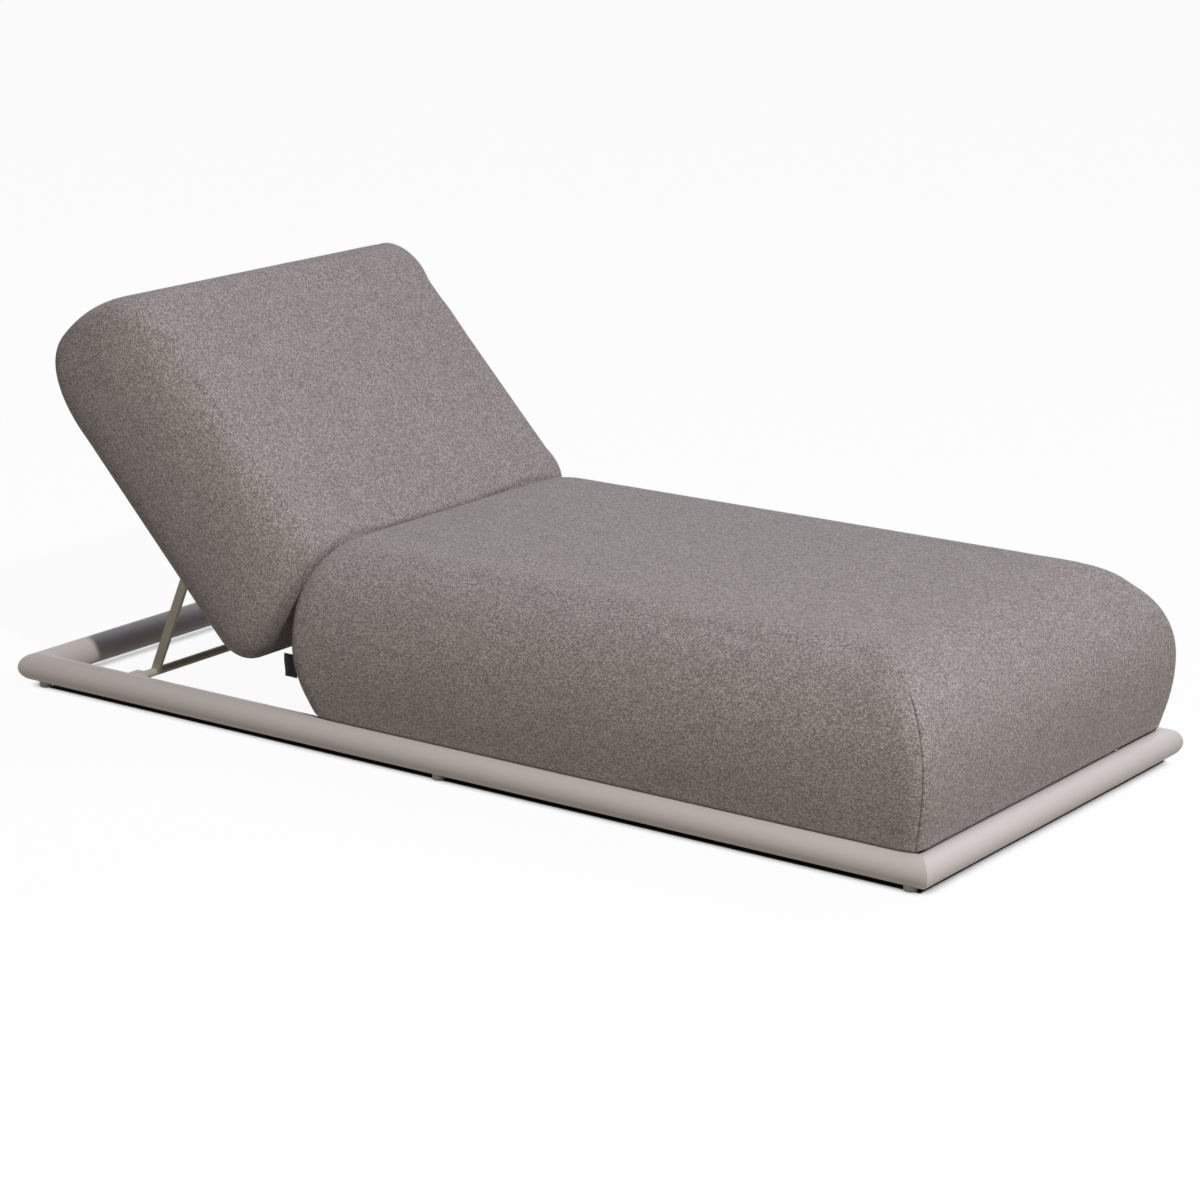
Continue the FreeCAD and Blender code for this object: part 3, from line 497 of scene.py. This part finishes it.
# %% Hard finishes
hard_finishes = {
    # name: paint, grain, dust, gloss, bump strength, bump distance, shader constants
    "frame_paint": ((0.600, 0.550, 0.527, 1), 900.0, 0.06, 0.52, 0.14, 0.0005,
                    {"Specular_IOR_Level": 0.35}),
    "prop_paint": ((0.540, 0.495, 0.400, 1), 900.0, 0.10, 0.50, 0.14, 0.0005,
                   {"Specular_IOR_Level": 0.35}),
    "moulded_plastic": ((0.42, 0.39, 0.37, 1), 1600.0, 0.12, 0.55, 0.15, 0.0003,
                        {"Specular_IOR_Level": 0.4}),
    "dark_plastic": ((0.045, 0.045, 0.045, 1), 1400.0, 0.15, 0.48, 0.15, 0.0003,
                     {"Specular_IOR_Level": 0.4}),
    "buffer_rubber": ((0.030, 0.029, 0.028, 1), 700.0, 0.25, 0.75, 0.2, 0.0005,
                      {"Specular_IOR_Level": 0.3}),
    "stainless": ((0.58, 0.57, 0.56, 1), 2200.0, 0.05, 0.33, 0.06, 0.0002, {"Metallic": 1.0})}
finishes = {}
for name, (paint, fineness, dust, gloss, bump, distance, constants) in hard_finishes.items():
    values = {"Paint": paint, "Grain": fineness, "Dust": dust, "Gloss": gloss}
    finishes[name] = finish_with(name, coat, values, "Object", bump, distance, **constants)
finishes["slat_wood"] = finish_with(
    "slat_wood", grain, {"Pale": (0.60, 0.44, 0.28, 1), "Deep": (0.42, 0.28, 0.16, 1)},
    place="Object", bump=0.25, distance=0.0003, Specular_IOR_Level=0.4)
print("hard finishes:", list(finishes))

# %% [markdown]
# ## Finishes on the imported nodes
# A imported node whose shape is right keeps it, and only gets its finish. Each could be dressed by
# hand, but the ends of the names say what a node is, so a few rules reach them all.

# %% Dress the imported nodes
def finish_for(name):
    if name.endswith(("screws", "pins", "clips", "bolts")):
        return "stainless"
    if "_slat_" in name and not name.endswith("ledge"):
        return "slat_wood"
    if name.endswith("_glide"):
        return "moulded_plastic"
    if name.endswith("_roller") or name in ("hinge_bushes", "rack_spacers"):
        return "dark_plastic"
    if name == "buffers":
        return "buffer_rubber"
    if name == "prop_axle" or name.endswith("_prop_arm"):
        return "prop_paint"
    return "frame_paint"


for name, node in nodes.items():
    for material_slot in node.material_slots:
        material_slot.material = finishes[finish_for(name)]
print("packed nodes dressed:", len(nodes))

# %% [markdown]
# ## The form of a cushion
# A deep outdoor cushion is a block of foam in a tight cover. Its top edges are rounded with a
# large, soft curve, its sides draw in towards the bottom, and its top is slightly crowned. It
# could be sculpted, but then its sizes are lost. Here each cushion is a short list of sizes, in
# metres: "low" says how far each side comes in at the bottom, and "top" how far at the top. The
# curve between them is a superellipse, which is a little squarer than a circle.

# %% Sizes of the two cushions
round_power = 2.2
seat_sizes = {
    "low_x": -0.3340, "high_x": 1.0150, "half": 0.4495, "height": 0.311, "widest": 0.131,
    "low": {"side": 0.021, "x_low": 0.041, "x_high": 0.022}, "low_curve": "drawn_in",
    "top": {"side": 0.162, "x_low": 0.046, "x_high": 0.200},
    "corner": (0.020, 0.042), "crown": 0.009, "slope": 0.0, "split": -0.3}
back_sizes = {
    "low_x": -0.7290, "high_x": 0.0099, "half": 0.4430, "height": 0.2885, "widest": 0.108,
    "low": {"side": 0.044, "x_low": 0.178, "x_high": 0.050}, "low_curve": "rounded",
    "top": {"side": 0.074, "x_low": 0.106, "x_high": 0.050},
    "corner": (0.052, 0.052), "crown": 0.008, "slope": 0.168, "split": -0.1}


def edge_curve(share, depth):
    """How far a rounded edge has come in at a share of its height."""
    share = np.clip(share, 0, 1)
    return depth * (1 - (1 - share ** round_power) ** (1 / round_power))


def outline_at(sizes, height):
    """The cushion's rectangle at each height: low x, high x, half width, corner radius."""
    low = np.clip((sizes["widest"] - height) / sizes["widest"], 0, 1)
    top = np.clip((height - sizes["widest"]) / (sizes["height"] - sizes["widest"]), 0, 1)

    def inset(place):
        depth = sizes["low"][place]
        lower = depth * low ** 2 if sizes["low_curve"] == "drawn_in" else edge_curve(low, depth)
        return lower + edge_curve(top, sizes["top"][place])

    start, end = sizes["corner"]
    return (sizes["low_x"] + inset("x_low"),
            sizes["high_x"] - sizes["slope"] * height - inset("x_high"),
            sizes["half"] - inset("side"), start + (end - start) * top ** 2)


print("top edge comes in by (mm):", [round(float(edge_curve(s, 162))) for s in (0.3, 0.6, 0.9)])

# %% [markdown]
# A subdivided cube is bent into that form. A point on a side face keeps its place round the
# outline and slides in by the curve at its height. A point on the top face keeps its share of
# the way to the rim and rises with the crown. The cube's upright edges end up just where the
# real cover has its corner seams, which a lofted or remeshed block wouldn't give. The share of
# the cube below "split" becomes the part of the cushion below its widest place.

# %% Bend a cube to the cushion
crown_power = 2.4
shrink_fade = 0.03
nearly_one = 0.999


def height_of(c, sizes):
    """Height of a point of the cube from -1 to 1, with equal turns round each edge."""
    split = sizes["split"]
    quarter = math.pi / 2
    upper = np.sin(np.clip((c - split) / (1 - split), 0, 1) * quarter) ** (2 / round_power)
    lower = np.clip((split - c) / (split + 1), 0, 1)
    if sizes["low_curve"] == "rounded":
        lower = np.sin(lower * quarter) ** (2 / round_power)
    rise = sizes["height"] - sizes["widest"]
    return np.where(c > split, sizes["widest"] + rise * upper, sizes["widest"] * (1 - lower))


def bend_to_cushion(points, sizes, shrink):
    """Moves the points of a cube from -1 to 1 to the cushion's surface, a little slimmer."""
    a, b, c = points[:, 0], points[:, 1], points[:, 2]
    height = height_of(c, sizes)
    x_low, x_high, half, radius = outline_at(sizes, height)
    slim = shrink * np.clip(height / shrink_fade, 0, 1)
    x_low, x_high, half = x_low + slim, x_high - slim, half - slim
    middle, half_x = (x_low + x_high) / 2, (x_high - x_low) / 2
    ring = np.maximum(np.abs(a), np.abs(b))
    radius = radius * ring
    px, py = a * half_x, b * half
    inner_x = np.clip(px, -(half_x * ring - radius), half_x * ring - radius)
    inner_y = np.clip(py, -(half * ring - radius), half * ring - radius)
    dx, dy = px - inner_x, py - inner_y
    reach = np.maximum(np.hypot(dx, dy), 1e-9)
    pull = np.where(reach > radius, radius / reach, 1.0)
    px, py = inner_x + dx * pull, inner_y + dy * pull
    rise = sizes["crown"] * (1 - np.abs(a) ** crown_power) * (1 - np.abs(b) ** crown_power)
    z = height + np.where(c > nearly_one, rise, 0) - slim * np.clip(c, 0, 1) ** 2
    return np.stack([middle + px, py, z], axis=1)


print("seat heights by row in mm:",
      [round(float(v) * 1000) for v in height_of(np.array([-1, -0.3, 0.3, 1]), seat_sizes)])

# %% [markdown]
# ## Work on meshes
# Moving thousands of points one by one is slow in Python. Blender can hand over all points of a
# mesh as one row of numbers and take them back, so each change is a few lines of array sums.
# Modifiers are applied once they have done their work, because the next step needs real points.


# %% Mesh helpers
def read_rows(items, label, width=3, kind=float):
    """One value of every item of a mesh, such as its place, as the rows of an array."""
    rows = np.empty(len(items) * width, dtype=kind)
    items.foreach_get(label, rows)
    return rows.reshape(-1, width)


def set_points(mesh, points):
    mesh.vertices.foreach_set("co", points.ravel())
    mesh.update()


def only(piece):
    """Selects one piece alone and makes it the active one."""
    bpy.ops.object.select_all(action="DESELECT")
    piece.select_set(True)
    bpy.context.view_layer.objects.active = piece


def apply_modifiers(piece):
    only(piece)
    for modifier in list(piece.modifiers):
        bpy.ops.object.modifier_apply(modifier=modifier.name)


def edit_whole(piece, step, **values):
    """Runs one step of edit mode on all of a piece."""
    only(piece)
    bpy.ops.object.mode_set(mode="EDIT")
    bpy.ops.mesh.select_all(action="SELECT")
    step(**values)
    bpy.ops.object.mode_set(mode="OBJECT")


def add_block(name, centre, size, cuts):
    """A block of this size, with every edge cut into equal parts."""
    bpy.ops.mesh.primitive_cube_add(size=1, location=centre)
    piece = bpy.context.object
    piece.name = name
    piece.scale = size
    only(piece)
    bpy.ops.object.transform_apply(location=True, rotation=True, scale=True)
    edit_whole(piece, bpy.ops.mesh.subdivide, number_cuts=cuts)
    return piece


print("mesh helpers ready")

# %% [markdown]
# ## The unfilled cushions
# The grid of the bent cube is even, so it serves the cloth well and needs no remesh. Three groups
# of points are named while the cube is still square, when they are easy to find: the panel that
# rests on the frame, the upright corners, and the rim of the resting panel.


# %% Raw cushions
def raw_cushion(name, sizes, shrink=0.001, cuts=47):
    piece = add_block(name, (0, 0, 0), (2, 2, 2), cuts)
    cube = read_rows(piece.data.vertices, "co")
    at_end, at_side = (np.abs(cube[:, axis]) > nearly_one for axis in (0, 1))
    resting = cube[:, 2] < -nearly_one
    for label, chosen in (("resting", resting), ("corners", at_end & at_side),
                          ("rim", resting & (at_end | at_side))):
        group = piece.vertex_groups.new(name=label)
        group.add([int(i) for i in np.flatnonzero(chosen)], 1.0, "REPLACE")
    set_points(piece.data, bend_to_cushion(cube, sizes, shrink))
    return piece


seat = raw_cushion("seat_cushion", seat_sizes)
back = raw_cushion("back_cushion", back_sizes)
print("points of each cushion:", len(seat.data.vertices), len(back.data.vertices))

# %% [markdown]
# ## Filling the cushions
# The bent cubes are a millimetre slimmer than the real cushions. A short cloth run with inner
# pressure swells them, as foam swells a tight cover: flat stretches bulge a little and edges
# soften. A sculpted bulge would look the same everywhere. The resting panel is pinned, so it
# stays flat. How far a point may move is capped, so that the outline stays where the photograph
# has it, and the side that faces the other cushion may move less.


# %% Fill with cloth pressure
def fill_cushion(piece, neighbour, cap=0.004, least=0.0006, held_back=0.6, frames=20):
    """Swells a cushion; neighbour is the X direction of the cushion that it must not touch."""
    start = read_rows(piece.data.vertices, "co")
    outward = read_rows(piece.data.vertices, "normal")
    settings = piece.modifiers.new("pressure", "CLOTH").settings
    for label, value in (
            ("quality", 5), ("mass", 0.3), ("tension_stiffness", 15),
            ("compression_stiffness", 15), ("bending_stiffness", 2), ("use_pressure", True),
            ("uniform_pressure_force", 4.0), ("vertex_group_mass", "resting")):
        setattr(settings, label, value)
    settings.effector_weights.gravity = 0
    for number in range(1, frames + 1):
        scene.frame_set(number)
    apply_modifiers(piece)
    moved = read_rows(piece.data.vertices, "co") - start
    out = (moved * outward).sum(axis=1)
    aside = moved - outward * out[:, None]
    most = cap * (1 - held_back * np.clip(outward[:, 0] * neighbour, 0, 1))
    out = np.where(out > 0, most * np.tanh(out / most), -least * np.tanh(-out / least))
    slide = np.maximum(np.linalg.norm(aside, axis=1, keepdims=True), 1e-9)
    aside *= cap * np.tanh(slide / cap) / slide
    print(piece.name, "swells by up to (mm):", round(float(out.max()) * 1000, 1),
          "mean", round(float(out.mean()) * 1000, 1))
    set_points(piece.data, start + aside + outward * out[:, None])
    scene.frame_set(1)
    divide = piece.modifiers.new("refine", "SUBSURF")
    divide.levels = divide.render_levels = 1
    apply_modifiers(piece)


fill_cushion(seat, neighbour=-1)
fill_cushion(back, neighbour=1)
for piece in (seat, back):
    print(piece.name, "points:", len(piece.data.vertices),
          "size in mm:", [round(v * 1000) for v in piece.dimensions])

# %% [markdown]
# ## Corner seams
# The cover is one panel that folds down over all four sides, and a dart at each corner takes in
# the spare cloth. On the seat the dart runs from the bottom up to where the rounded top edge
# begins. A line drawn in the finish would look flat, so the corner edge is bevelled into a narrow
# band of six strips, and the strips nearest the middle are pressed in. The same points carry a
# mark that the finish turns into a dark line, painted shade in the groove. The rear panel of the
# back cushion is sewn on in the same way, all round its rim.

# %% Find the seams
full_weight = 0.99


def in_group(piece, name):
    """Which points belong to a named group."""
    index = piece.vertex_groups[name].index
    return np.array([any(member.group == index and member.weight > full_weight
                         for member in vertex.groups) for vertex in piece.data.vertices])


def distance_to_lines(points, starts, ends):
    """Distance of each point to the nearest of many short lines."""
    nearest = np.full(len(points), np.inf)
    for start, end in zip(starts, ends):
        along = end - start
        share = np.clip((points - start) @ along / (along @ along), 0, 1)
        away = np.linalg.norm(points - start - share[:, None] * along, axis=1)
        nearest = np.minimum(nearest, away)
    return nearest


def bevel_edges(piece, chosen, width):
    """Widens the chosen edges into bands of six strips."""
    only(piece)
    bpy.ops.object.mode_set(mode="EDIT")
    bpy.ops.mesh.select_mode(type="EDGE")
    bpy.ops.mesh.select_all(action="DESELECT")
    bpy.ops.object.mode_set(mode="OBJECT")
    piece.data.edges.foreach_set("select", chosen)
    bpy.ops.object.mode_set(mode="EDIT")
    bpy.ops.mesh.bevel(offset=width, offset_type="OFFSET", segments=6, affect="EDGES")
    bpy.ops.object.mode_set(mode="OBJECT")


print("points on the corner edges of the seat:", int(in_group(seat, "corners").sum()))

# %% Press the seams in
seam_width, mark_width, band_half = 0.0014, 0.0012, 0.005
lip_place, lip_width, lip_share = 0.0045, 0.002, 0.15
pucker, pucker_scale_z, pucker_scale_x = 0.2, 170, 23


def sew(piece, group, highest, depth, fade_length=0.04):
    """Presses a seam in along the edges of a group, up to a height."""
    mesh = piece.data
    points = read_rows(mesh.vertices, "co")
    on_line = in_group(piece, group) & (points[:, 2] < highest)
    pairs = read_rows(mesh.edges, "vertices", width=2, kind=int)
    chosen = on_line[pairs].all(axis=1)
    starts, ends = points[pairs[chosen, 0]], points[pairs[chosen, 1]]
    bevel_edges(piece, chosen, band_half)
    points = read_rows(mesh.vertices, "co")
    away = distance_to_lines(points, starts, ends)
    fade = np.clip((highest - points[:, 2]) / fade_length, 0, 1)
    ripple = np.sin(points[:, 2] * pucker_scale_z + points[:, 0] * pucker_scale_x)
    fade = fade * (1 + pucker * ripple)
    groove = np.exp(-(away / seam_width) ** 2)
    lips = np.exp(-((away - lip_place) / lip_width) ** 2)
    press = (depth * fade * (groove - lip_share * lips))[:, None]
    set_points(mesh, points - read_rows(mesh.vertices, "normal") * press)
    # the seam mark carries painted shade along the groove, fading as the groove gets shallower
    mark = mesh.attributes.new("seam", "FLOAT", "POINT")
    mark.data.foreach_set("value", np.where(away < mark_width, np.clip(fade * 1.5, 0, 1), 0))
    print(piece.name, group, "edges sewn:", int(chosen.sum()))


sew(seat, "corners", highest=0.274, depth=0.0026)
sew(back, "rim", highest=0.05, depth=0.0024)

# %% [markdown]
# ## Unfolding the cloth
# The weave needs a flat map of the cover. Blender can unwrap a mesh by itself, but the threads
# would then bend. So each cover is folded out like the lid of a box: the top stays as it is,
# each side is laid flat beside it by the length of the cloth over the rounded edge, and the
# resting panel is set apart. The map is in metres, so that threads have the same size everywhere.

# %% Length of the cloth over an edge
def beyond_top(points, sizes, place):
    """How far points lie past the line where the top starts to round off."""
    depth = sizes["top"][place]
    if place == "side":
        return np.abs(points[:, 1]) - (sizes["half"] - depth)
    if place == "x_low":
        return (sizes["low_x"] + depth) - points[:, 0]
    return points[:, 0] - (sizes["high_x"] - sizes["slope"] * points[:, 2] - depth)


def path_length(points, sizes, place, samples=60):
    """Length of the cloth from that line down to each point."""
    widest, rise = sizes["widest"], sizes["height"] - sizes["widest"]
    depth = sizes["top"][place]
    turn = np.linspace(0, math.pi / 2, samples)
    px = depth * np.cos(turn) ** (2 / round_power)
    pz = rise * np.sin(turn) ** (2 / round_power)
    steps = np.concatenate([[0], np.cumsum(np.hypot(np.diff(px), np.diff(pz)))])
    angle = np.arctan2((points[:, 2] - widest) / rise,
                       np.maximum(beyond_top(points, sizes, place), 0) / depth)
    upper = steps[-1] - np.interp(angle, np.arctan2(pz / rise, px / depth), steps)
    lower = steps[-1] + widest - points[:, 2]
    return np.where(points[:, 2] < widest, lower, upper)


widest_spot = np.array([[0, seat_sizes["half"], seat_sizes["widest"]]])
print("cloth over the seat's side edge in mm:",
      round(float(path_length(widest_spot, seat_sizes, "side")[0]) * 1000))

# %% Unfold the covers
resting_height, resting_shift, map_shift = 0.004, 3.0, 2.0


def unfold(piece, sizes):
    mesh = piece.data
    points = read_rows(mesh.vertices, "co")
    centres = read_rows(mesh.polygons, "center")
    corners = read_rows(mesh.loops, "vertex_index", width=1, kind=int)[:, 0]
    face_of = np.repeat(np.arange(len(mesh.polygons)), [p.loop_total for p in mesh.polygons])
    edges = (("side", 1), ("x_low", 0), ("x_high", 0))
    ratios = np.stack([beyond_top(centres, sizes, place) / sizes["top"][place]
                       for place, _ in edges])
    top, resting = 3, 4
    region = np.where(ratios.max(axis=0) <= 0, top, ratios.argmax(axis=0))
    region = np.where(centres[:, 2] < resting_height, resting, region)[face_of]
    uv = points[corners, :2]
    reach = {"side": sizes["half"], "x_low": -sizes["low_x"],
             "x_high": sizes["high_x"] - sizes["slope"] * sizes["height"]}
    outwards = {"side": np.sign(uv[:, 1]), "x_low": -1, "x_high": 1}
    for index, (place, axis) in enumerate(edges):
        down = path_length(points, sizes, place)[corners]
        way = outwards[place] * (reach[place] - sizes["top"][place] + down)
        uv[:, axis] = np.where(region == index, way, uv[:, axis])
    uv[region == resting, 1] += resting_shift
    layer = mesh.uv_layers.active or mesh.uv_layers.new(name="cloth")
    layer.data.foreach_set("uv", (uv + map_shift).ravel())


for piece, sizes in ((seat, seat_sizes), (back, back_sizes)):
    unfold(piece, sizes)
    piece.vertex_groups.clear()
    print(piece.name, "faces:", len(piece.data.polygons))

# %% [markdown]
# ## Setting the cushions in place
# Both were made lying flat. The seat is lifted on to the slats. The back is turned up about the
# hinge line by its angle. The turn is applied to the points, so that the object itself stays
# at the origin, as the imported pieces do. Each cushion is then hung on the body it rides on,
# and the imported nodes that it stands for are hidden.

seat_base = 0.0639
hinge = Vector((-0.372, 0, 0.207))
recline = math.radians(46.2)
back_drop = 0.1412
least_height = 0.0002
seat_place = Matrix.Translation((0, 0, seat_base))
back_place = (Matrix.Translation(hinge) @ Matrix.Rotation(recline, 4, "Y")
              @ Matrix.Translation((0, 0, -back_drop)))
for piece, matrix, body, cad in (
        (seat, seat_place, "base", ("seat_cushion_cover", "seat_cushion_foam")),
        (back, back_place, "back", ("back_cushion_cover", "back_cushion_foam"))):
    points = read_rows(piece.data.vertices, "co")
    points[:, 2] = np.maximum(points[:, 2], least_height)
    set_points(piece.data, points)
    piece.data.transform(matrix)
    only(piece)
    bpy.ops.object.shade_smooth()
    piece.data.materials.clear()
    piece.data.materials.append(cover_cloth)
    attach(piece, body)
    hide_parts(*cad)
print("cushions placed")

# %% [markdown]
# ## The sewn tab
# A short folded ribbon is caught in the seat cover's corner seam. It is doubled over, so its
# middle is a little thinner than its fold and its edges are slightly wavy. A cloth run could
# make the waves, but for such a small piece a few sines do: a block of the ribbon's size is cut
# into strips and bent a little by its height and length.

# %% Tab
tab_low, tab_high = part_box("seat_tab")
tab_thickness = 0.0018
pinch, pinch_place, pinch_width = 0.35, 0.45, 0.2
curl, waviness = 0.0010, 0.0006
tab_length, tab_height = tab_high.x - tab_low.x, tab_high.z - tab_low.z
tab = add_block("sewn_tab", (tab_low + tab_high) / 2, (tab_length, tab_thickness, tab_height), 9)
points = read_rows(tab.data.vertices, "co")
out = (tab_high.x - points[:, 0]) / tab_length
up = (points[:, 2] - tab_low.z) / tab_height
middle_y = (tab_low.y + tab_high.y) / 2
thin = 1 - pinch * np.exp(-((out - pinch_place) / pinch_width) ** 2)
points[:, 1] = middle_y + (points[:, 1] - middle_y) * thin
points[:, 1] += curl * np.sin(out * 2.2) * np.cos(up * 3.0)
points[:, 0] += waviness * np.sin(up * 7.0) * out
set_points(tab.data, points)
soften = tab.modifiers.new("soften", "BEVEL")
soften.width = 0.0004
soften.segments = 2
soften.limit_method = "ANGLE"
apply_modifiers(tab)
edit_whole(tab, bpy.ops.uv.cube_project, cube_size=1.0)
bpy.ops.object.shade_smooth_by_angle(angle=math.radians(50))
tab.data.materials.append(tab_cloth)
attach(tab, "base")
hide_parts("seat_tab")
print("tab size in mm:", [round(v * 1000, 1) for v in tab.dimensions])
